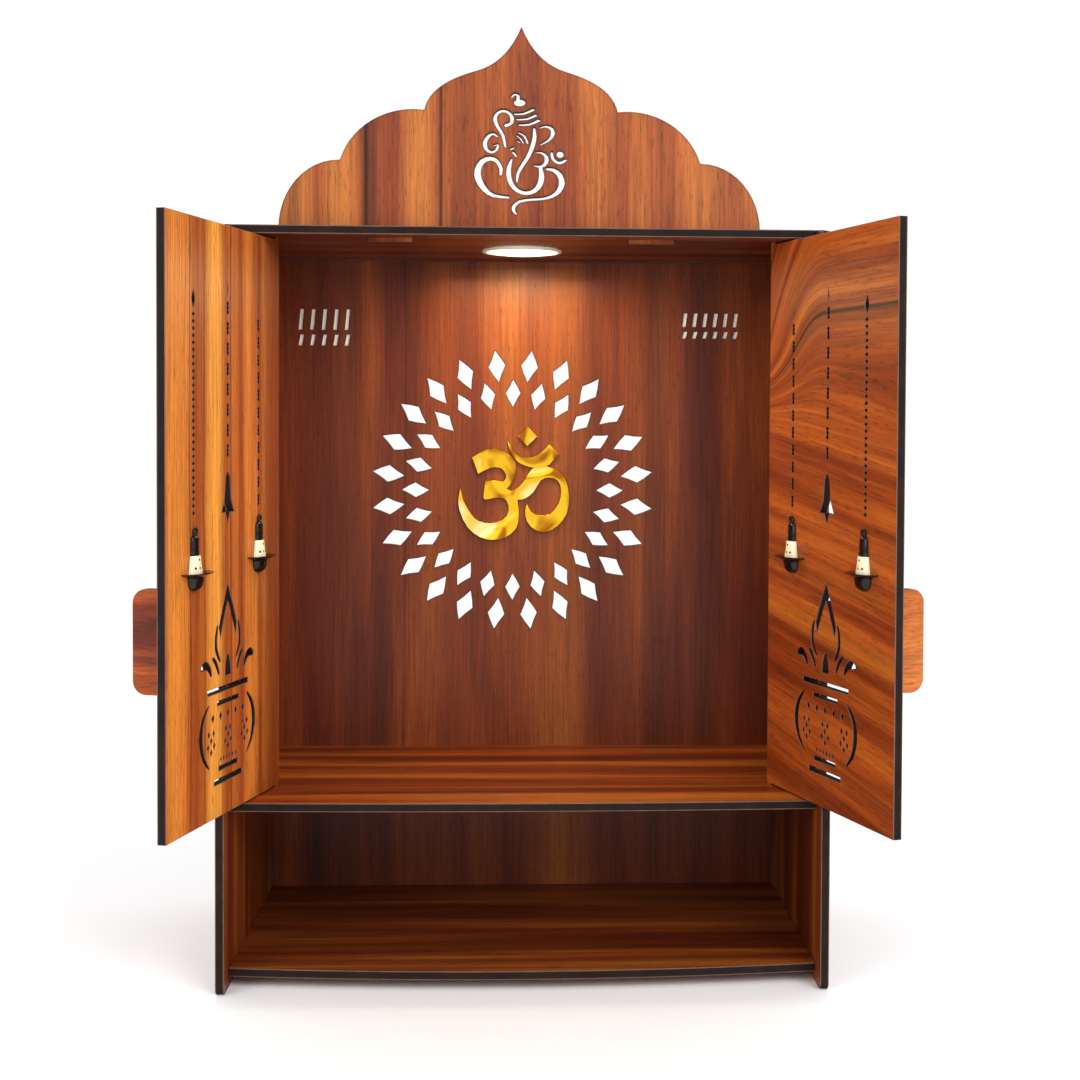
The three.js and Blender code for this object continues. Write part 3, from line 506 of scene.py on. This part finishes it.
def looks(colours):
    """Grain direction, streaks and colour factor of every board, in millimetres from its hinge or middle
    line. The colour factor is partly a board's own colour and partly painted shade, darkest on the boards
    inside the cabinet and on the top.
    """
    left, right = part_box("side_panel_left"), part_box("side_panel_right")
    middle = (left[0].x + right[1].x) / 2
    centre = Vector((middle, 0, 0))
    vein, dark, red, orange, light, yellow = [
        tuple(getattr(colours, key)) for key in ("vein", "dark", "red", "orange", "light", "yellow")
    ]
    plain = [(0.3, dark), (0.42, red), (0.54, orange), (0.7, light)]
    even = [(0.3, red), (0.5, orange), (0.75, light)]
    base = {
        "across": ACROSS, "along": UP, "origin": centre, "seed": (0, 0, 0), "wander": 7, "streak": 22,
        "rings": 16, "ring_depth": 0.8, "pore": 0.6, "tone": linear("#FFFFFF"), "ramp": plain, "streaks": [],
        "scorch": 0,
    }
    found = {}

    def board(name, **changes):
        found[name] = {**base, **changes}

    board("crown_arch", seed=(1.3, 0, 0.4), ramp=even, wander=5, tone=linear("#D9D4D6"), scorch=0.5, streaks=[
        (-150, 5, dark, 0.6), (-120, 12, light, 0.75), (-101, 6, dark, 0.9), (-103.5, 1.6, vein, 0.85),
        (-89, 7, red, 0.9), (-70, 11, light, 0.75), (-55, 1.4, vein, 0.85), (-43, 12, red, 0.8),
        (-30, 3, orange, 0.5), (-10, 4, red, 0.4), (60, 9, red, 0.35), (112, 14, light, 0.4),
    ])
    board("back_panel", seed=(4.1, 0, 1.9), ramp=[(0.3, dark), (0.46, red), (0.62, orange), (0.8, light)],
          streak=38, rings=13, ring_depth=0.6, tone=linear("#B4A596"), scorch=0.5, streaks=[
              (-128, 9, dark, 0.5), (-88, 1.3, vein, 0.35), (-60, 16, orange, 0.5), (30, 20, light, 0.35),
              (96, 10, dark, 0.55), (134, 12, dark, 0.6),
          ])
    board("side_panel_left", across=BACKWARD, along=UP, seed=(2.2, 3, 0.7), tone=linear("#BCAC98"))
    board("side_panel_right", across=BACKWARD, along=UP, seed=(7.9, 5, 2.7), tone=linear("#A8988A"))
    # The top's dark colour factor is painted shade for its dim underside, and it darkens the upper face as
    # well
    board("top_panel", across=BACKWARD, along=ACROSS, seed=(3.3, 0, 5.1), tone=linear("#A08E88"))
    board("middle_shelf", across=BACKWARD, along=ACROSS, seed=(6.4, 0, 1.1), streak=16,
          tone=linear("#CFBE9C"))
    board("bottom_shelf", across=BACKWARD, along=ACROSS, seed=(9.2, 0, 3.3), streak=16,
          tone=linear("#B0A494"))

    pivot, along, normal = door_frame("left")
    board("door_left", across=along, along=UP, origin=pivot, seed=(5.6, 2, 8.1), ramp=even, wander=9,
          tone=linear("#FFFCF0"), ring_depth=0.95, streaks=[
              # the first, broad dark streak along the hinge is painted shade on the part of the door inside
              # the cabinet
              (8, 20, dark, 0.75), (29, 4, dark, 0.65), (48, 7, light, 0.55), (60, 4, red, 0.75),
              (70, 8, orange, 0.6), (75, 1, vein, 0.6), (83, 4, red, 0.5), (87.5, 1.1, vein, 0.6),
              (98, 13, yellow, 0.95), (112, 1, vein, 0.4), (125, 7, red, 0.65), (131, 1.1, vein, 0.5),
              (150, 14, light, 0.8),
          ])
    board("door_handle_left", across=UP, along=ACROSS, origin=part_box("door_handle_left")[0],
          seed=(8.8, 4, 0.2), ramp=plain, tone=linear("#D0B290"),
          streaks=[(36, 9, dark, 0.8), (20, 3, vein, 0.5)])
    pivot, along, normal = door_frame("right")
    board("door_right", across=UP, along=along, origin=pivot, seed=(2.9, 1, 6.3), wander=7, streak=14,
          ramp=[(0.28, dark), (0.42, red), (0.58, orange), (0.8, light)], rings=22, ring_depth=0.6,
          tone=linear("#EEDCB8"), sweep=(235, 292, 0.15, 13, 74), streaks=[
              (356, 12, orange, 0.7), (330, 9, red, 0.5), (306, 1.6, vein, 0.95), (300, 4, dark, 0.5),
              (282, 10, red, 0.4), (172, 8, orange, 0.5), (152, 6, dark, 0.55), (120, 9, light, 0.5),
              (96, 4, dark, 0.5), (62, 8, orange, 0.4), (40, 4, dark, 0.45), (18, 10, dark, 0.5),
          ])
    board("door_handle_right", across=UP, along=ACROSS, origin=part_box("door_handle_right")[0],
          seed=(1.8, 7, 4.2), ramp=[(0.3, orange), (0.6, light)], tone=linear("#F0E4EC"))
    return found


def dress_board(context, node, body):
    """Makes one board's finished piece over its CAD node."""
    sizes, colours = context.scene.altar_sizes, context.scene.altar_colours
    piece, axis, low, high = board_from(node, node + "_board", sizes)
    materials = [
        laminate("walnut-print laminate, " + node.replace("_", " "), looks(colours)[node], colours),
        skin_line_and_painted_highlight(colours),
        cut_edge(colours),
    ]
    if node == "back_panel":
        materials.append(glossy("pale paint fill", colours.paint, 0.5, 0.05))
    give_slots(piece, axis, low, high, sizes.skin, materials)
    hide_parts(node)
    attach(piece, body)
    return piece


class ALTAR_OT_carcass(bpy.types.Operator):
    """Side panels, back, top and both shelves."""

    bl_idname = "altar.carcass"
    bl_label = "Carcass boards"

    def execute(self, context):
        for node in ("side_panel_left", "side_panel_right", "back_panel", "top_panel", "middle_shelf",
                     "bottom_shelf"):
            dress_board(context, node, "cabinet")
        return {"FINISHED"}


class ALTAR_OT_crown(bpy.types.Operator):
    """The scalloped crown with its cut line figure."""

    bl_idname = "altar.crown"
    bl_label = "Crown"

    def execute(self, context):
        dress_board(context, "crown_arch", "cabinet")
        return {"FINISHED"}


class ALTAR_OT_doors(bpy.types.Operator):
    """Both pierced doors and their handles."""

    bl_idname = "altar.doors"
    bl_label = "Doors and handles"

    def execute(self, context):
        for side in ("left", "right"):
            for node in ("door_" + side, "door_handle_" + side):
                dress_board(context, node, side + "_door")
        return {"FINISHED"}


class ALTAR_OT_emblem(bpy.types.Operator):
    """The gold emblem and its dot."""

    bl_idname = "altar.emblem"
    bl_label = "Gold emblem"

    def execute(self, context):
        sizes, colours = context.scene.altar_sizes, context.scene.altar_colours
        for node in ("om_emblem", "om_emblem_dot"):
            piece, axis, low, high = board_from(node, node + "_plate", sizes)
            piece.data.materials.append(gold_mirror(colours))
            alone(piece)
            bpy.ops.object.shade_smooth_by_angle(angle=EDGE_ANGLE)
            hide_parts(node)
            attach(piece, "cabinet")
        return {"FINISHED"}


# Turned forms

def turned(name, profile, sides):
    """A closed form about the Z axis: a disc drawn up step by step through (radius, height) in mm."""
    radius, height = profile[0]
    bpy.ops.object.select_all(action="DESELECT")
    bpy.ops.mesh.primitive_circle_add(vertices=sides, radius=radius * MM, fill_type="NGON")
    piece = bpy.context.active_object
    piece.name = piece.data.name = name
    editing()
    bpy.ops.mesh.select_all(action="SELECT")
    bpy.ops.transform.translate(value=(0, 0, height * MM))
    for next_radius, next_height in profile[1:]:
        rise = (next_height - height) * MM
        bpy.ops.mesh.extrude_region_move(TRANSFORM_OT_translate={"value": (0, 0, rise)})
        grow = next_radius / radius
        bpy.ops.transform.resize(value=(grow, grow, 1), center_override=(0, 0, next_height * MM))
        radius, height = next_radius, next_height
    bpy.ops.mesh.select_all(action="SELECT")
    bpy.ops.mesh.normals_make_consistent(inside=False)
    done_editing()
    return piece


def flat_backed(piece, depth):
    """Presses a turned form to its depth and cuts off the half behind the door's face."""
    alone(piece)
    editing()
    bpy.ops.mesh.select_all(action="SELECT")
    bpy.ops.transform.resize(value=(1, depth, 1), center_override=(0, 0, 0))
    bpy.ops.mesh.bisect(plane_co=(0, 0, 0), plane_no=(0, 1, 0), use_fill=True, clear_inner=True)
    bpy.ops.mesh.select_all(action="SELECT")
    bpy.ops.mesh.normals_make_consistent(inside=False)
    done_editing()


def bored(piece, holes, radius, reach):
    """Small blind holes bored into the front of a form, at (x, z) in mm."""
    cutters = []
    for x, z in holes:
        bpy.ops.mesh.primitive_cylinder_add(
            vertices=16, radius=radius * MM, depth=reach * MM,
            location=(x * MM, (reach / 2 + 1.6) * MM, z * MM),
            rotation=(math.radians(90), 0, 0),
        )
        cutters.append(bpy.context.active_object)
        bpy.ops.object.transform_apply()
    bpy.ops.object.select_all(action="DESELECT")
    for cutter in cutters:
        cutter.select_set(True)
    bpy.context.view_layer.objects.active = cutters[0]
    bpy.ops.object.join()
    cutter = bpy.context.active_object
    cutter.data.materials.append(piece.data.materials[1])
    alone(piece)
    bpy.ops.object.modifier_add(type="BOOLEAN")
    cut = piece.modifiers[-1]
    cut.object = cutter
    cut.operation = "DIFFERENCE"
    cut.material_mode = "TRANSFER"
    bpy.ops.object.modifier_apply(modifier=cut.name)
    bpy.data.objects.remove(cutter)


class ALTAR_OT_lamps(bpy.types.Operator):
    """The four hanging lamps: hook and sleeve, ivory body, saucer and bowl."""

    bl_idname = "altar.lamps"
    bl_label = "Hanging lamps"

    def execute(self, context):
        sizes, colours = context.scene.altar_sizes, context.scene.altar_colours
        black = glossy("black cast acrylic", colours.black, 0.16, 0.6, 0.3)
        ivory = glossy("ivory cast acrylic", colours.ivory, 0.22, 0.03)
        sides, depth = sizes.lamp_sides, sizes.lamp_depth

        sleeve = turned("sleeve", [
            (4.5, 10), (4.6, 10.15), (4.6, 12.6), (4.2, 12.8), (4.2, 13.3), (4.55, 13.5), (4.4, 19.2),
            (4, 20.2), (3.2, 20.9), (1.8, 21.4),
        ], sides)
        flat_backed(sleeve, depth)
        bpy.ops.object.select_all(action="DESELECT")
        bpy.ops.mesh.primitive_torus_add(
            major_radius=2.15 * MM, minor_radius=0.72 * MM, major_segments=32, minor_segments=12,
            location=(0, 0.9 * MM, 23.3 * MM), rotation=(math.radians(90), 0, 0),
        )
        eye = bpy.context.active_object
        bpy.ops.object.transform_apply()
        sleeve.select_set(True)
        eye.select_set(True)
        bpy.context.view_layer.objects.active = sleeve
        bpy.ops.object.join()
        body = turned("body", [
            (7.1, -0.9), (7.35, -0.6), (7.2, 1), (6.7, 3), (6.1, 6), (5.7, 9.2), (5.4, 9.7),
        ], sides)
        flat_backed(body, depth)
        body.data.materials.append(ivory)
        body.data.materials.append(black)
        bored(body, [(0, 7.4), (-3.4, 2.6), (0.4, 2.6), (4.2, 2.6)], 0.75, 8)
        cup = turned("cup", [
            (1.6, -10.8), (3.4, -10.4), (5.2, -9.7), (6.6, -8.7), (7.7, -7.2), (8.3, -5.5), (8.5, -3.4),
            (9.4, -2.5), (12.5, -1.7), (16.4, -0.75), (17, -0.4), (17, -0.12), (16.7, 0), (15, -0.1),
            (11, -0.7), (8.2, -1.2),
        ], sides)
        flat_backed(cup, depth)

        for kind, model, look, slot in (("hook", sleeve, black, "black_acrylic"),
                                        ("body", body, ivory, "ivory_acrylic"),
                                        ("cup", cup, black, "black_acrylic")):
            if not model.data.materials:
                model.data.materials.append(look)
            alone(model)
            bpy.ops.object.shade_smooth_by_angle(angle=ROUND_ANGLE)
            for side in ("left", "right"):
                for place in ("outer", "inner"):
                    name = "lamp_%s_form_%s_%s" % (kind, side, place)
                    piece = bpy.data.objects.new(name, model.data.copy())
                    context.collection.objects.link(piece)
                    piece.data.transform(self.standing(sizes, side, place))
                    node = "lamp_%s_%s_%s" % (kind, side, place)
                    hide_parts(node)
                    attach(piece, side + "_door")
            bpy.data.objects.remove(model)
        return {"FINISHED"}

    def standing(self, sizes, side, place):
        """Puts a lamp's form, whose saucer rim is at height 0, on the inner face of its door."""
        pivot, along, normal = door_frame(side)
        door_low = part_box("door_" + side)[0]
        thick = [vertex.co.dot(normal) for vertex in frame["nodes"]["door_" + side].data.vertices]
        off = max(thick) - pivot.dot(normal) + 0.3 * MM
        distance = sizes.lamp_outer if place == "outer" else sizes.lamp_inner
        height = sizes.saucer_outer if place == "outer" else sizes.saucer_inner
        edge = door_low.z + 5 * MM
        spot = pivot + along * distance + normal * off
        spot.z = edge + height
        turn = Matrix((normal.cross(UP), normal, UP)).transposed().to_4x4()
        return Matrix.Translation(spot) @ turn


class ALTAR_OT_downlight(bpy.types.Operator):
    """The round downlight under the top: a ring and its diffuser."""

    bl_idname = "altar.downlight"
    bl_label = "Downlight"

    def execute(self, context):
        colours = context.scene.altar_colours
        low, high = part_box("led_ring")
        centre = Vector(((low.x + high.x) / 2, (low.y + high.y) / 2, high.z))
        ring = turned("led_ring_trim", [
            (24.35, -0.1), (24.35, -1.5), (24.6, -1.8), (25.3, -1.85), (26.6, -1.75), (27.2, -1.5),
            (27.4, -1), (27.4, 0),
        ], 72)
        alone(ring)
        # The disc that the form grew from and the one on top come out, and the wall closes into a ring
        mesh = ring.data
        clear_choice(mesh)
        for face in mesh.polygons:
            if len(face.vertices) > 4:
                face.select = True
        bpy.context.tool_settings.mesh_select_mode = (False, False, True)
        bpy.ops.object.mode_set(mode="EDIT")
        bpy.ops.mesh.delete(type="ONLY_FACE")
        bpy.context.tool_settings.mesh_select_mode = (False, True, False)
        bpy.ops.mesh.select_all(action="DESELECT")
        bpy.ops.mesh.select_non_manifold()
        bpy.ops.mesh.bridge_edge_loops()
        bpy.ops.mesh.select_all(action="SELECT")
        bpy.ops.mesh.normals_make_consistent(inside=False)
        done_editing()
        lens = turned("led_lens_dome", [
            (24, 0), (24, -0.9), (23.6, -1.15), (21.5, -1.7), (18, -2.3), (14, -2.85), (9, -3.3), (4, -3.55),
            (1, -3.6),
        ], 72)
        trim = glossy("white painted aluminium trim", linear("#F3EDE0"), 0.3, 0.03)
        for piece, node, slot, look in (
            (ring, "led_ring", "light_ring", trim),
            (lens, "led_lens", "light_lens", opal_diffuser(colours)),
        ):
            piece.data.transform(Matrix.Translation(centre))
            piece.data.materials.append(look)
            alone(piece)
            bpy.ops.object.shade_smooth_by_angle(angle=ROUND_ANGLE)
            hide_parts(node)
            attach(piece, "cabinet")
        return {"FINISHED"}


# Studio

def soft_box(name, place, aim, size, watts, tint="#FFFFFF"):
    """A square soft box that looks at a point."""
    data = bpy.data.lights.new(name, "AREA")
    data.shape = "SQUARE"
    data.size = size
    data.energy = watts
    data.color = linear(tint)[:3]
    lamp = bpy.data.objects.new(name, data)
    lamp.location = place
    lamp.rotation_euler = (Vector(aim) - Vector(place)).to_track_quat("-Z", "Y").to_euler()
    bpy.context.collection.objects.link(lamp)
    return lamp


class ALTAR_OT_stage(bpy.types.Operator):
    """Pale floor, white surroundings, soft boxes and the camera."""

    bl_idname = "altar.stage"
    bl_label = "Studio"

    def execute(self, context):
        colours, studio = context.scene.altar_colours, context.scene.altar_studio
        scene = context.scene
        left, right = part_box("side_panel_left"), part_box("side_panel_right")
        front = Vector(((left[0].x + right[1].x) / 2, left[0].y, 0))

        bpy.ops.object.select_all(action="DESELECT")
        bpy.ops.mesh.primitive_circle_add(vertices=96, radius=9, fill_type="NGON", location=(0, 0, 0))
        floor = context.active_object
        floor.name = "studio_floor"
        paper, tree = new_material("white seamless paper")
        place = add(tree, "ShaderNodeTexCoord").outputs["Object"]
        tooth = add(tree, "ShaderNodeTexNoise", {"Vector": place, "Scale": 900, "Detail": 2}).outputs["Fac"]
        relief = add(tree, "ShaderNodeBump", {
            "Strength": 0.1, "Distance": 0.1 * MM, "Height": tooth,
        }).outputs[0]
        shader = add(tree, "ShaderNodeBsdfPrincipled", {
            "Base Color": tuple(colours.floor), "Roughness": 0.35, "Normal": relief,
        })
        shown(tree, shader.outputs[0])
        floor.data.materials.append(paper)

        world = bpy.data.worlds.new("white surroundings")
        world.use_nodes = True
        world.node_tree.nodes.clear()
        sky = add(world.node_tree, "ShaderNodeBackground", {
            "Color": linear("#FFFFFF"), "Strength": studio.ambient,
        })
        add(world.node_tree, "ShaderNodeOutputWorld", {"Surface": sky.outputs[0]})
        scene.world = world

        soft_box("key", (1.1, -1.9, 1.5), (0, 0, 0.3), 1.2, studio.key)
        soft_box("fill", (-1.5, -1.7, 1.1), (0, 0, 0.3), 1.2, studio.fill)
        low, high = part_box("led_lens")
        data = bpy.data.lights.new("downlight", "AREA")
        data.shape = "DISK"
        data.size = 44 * MM
        data.energy = studio.downlight
        data.color = linear("#FFEEC0")[:3]
        glow = bpy.data.objects.new("downlight", data)
        glow.location = ((low.x + high.x) / 2, (low.y + high.y) / 2, low.z - 1 * MM)
        context.collection.objects.link(glow)
        under = glow.location + Vector((0, 7, -8)) * MM
        haze = soft_box("haze", under, (under.x, under.y + MM, 0), 0.11, studio.haze)
        haze.data.color = data.color
        haze.visible_camera = False

        self.camera(scene, front)
        scene.view_settings.view_transform = "Standard"
        return {"FINISHED"}

    def camera(self, scene, front):
        """The photograph's view: place, turn, tilt, roll and the framing's shift."""
        yaw, pitch, roll = (math.radians(angle) for angle in (2.493, 1.590, 0.288))
        forward = Vector((math.sin(yaw) * math.cos(pitch), math.cos(yaw) * math.cos(pitch), -math.sin(pitch)))
        level = Vector((math.cos(yaw), -math.sin(yaw), 0))
        raised = level.cross(forward)
        right = math.cos(roll) * level + math.sin(roll) * raised
        upward = -math.sin(roll) * level + math.cos(roll) * raised
        data = bpy.data.cameras.new("camera")
        data.sensor_width = 36
        data.lens = 55.21
        data.shift_x = -0.0471
        data.shift_y = -0.0640
        data.clip_start = 0.01
        data.clip_end = 50
        camera = bpy.data.objects.new("camera", data)
        place = front + Vector((-4.635, -1020.262, 353.409)) * MM
        turn = Matrix((right, upward, -forward)).transposed().to_4x4()
        camera.matrix_world = Matrix.Translation(place) @ turn
        scene.collection.objects.link(camera)
        scene.camera = camera


OPERATORS = (
    ALTAR_OT_carcass, ALTAR_OT_crown, ALTAR_OT_doors, ALTAR_OT_emblem, ALTAR_OT_lamps, ALTAR_OT_downlight,
    ALTAR_OT_stage,
)


class ALTAR_PT_panel(bpy.types.Panel):
    """Lists the altar cabinet's settings and steps."""

    bl_idname = "ALTAR_PT_panel"
    bl_label = "Altar cabinet"
    bl_space_type = "VIEW_3D"
    bl_region_type = "UI"
    bl_category = "Altar"

    def draw(self, context):
        for group in (context.scene.altar_sizes, context.scene.altar_colours, context.scene.altar_studio):
            box = self.layout.box()
            for key in group.bl_rna.properties.keys():
                if key not in ("rna_type", "name"):
                    box.prop(group, key)
        for operator in OPERATORS:
            self.layout.operator(operator.bl_idname)


GROUPS = (AltarSizes, AltarColours, AltarStudio)
CLASSES = GROUPS + OPERATORS + (ALTAR_PT_panel,)


def register():
    for item in CLASSES:
        bpy.utils.register_class(item)
    bpy.types.Scene.altar_sizes = PointerProperty(type=AltarSizes)
    bpy.types.Scene.altar_colours = PointerProperty(type=AltarColours)
    bpy.types.Scene.altar_studio = PointerProperty(type=AltarStudio)


def unregister():
    del bpy.types.Scene.altar_sizes
    del bpy.types.Scene.altar_colours
    del bpy.types.Scene.altar_studio
    for item in reversed(CLASSES):
        bpy.utils.unregister_class(item)


def main():
    register()
    for step in ("carcass", "crown", "doors", "emblem", "lamps", "downlight", "stage"):
        getattr(bpy.ops.altar, step)()


if __name__ == "__main__":
    main()
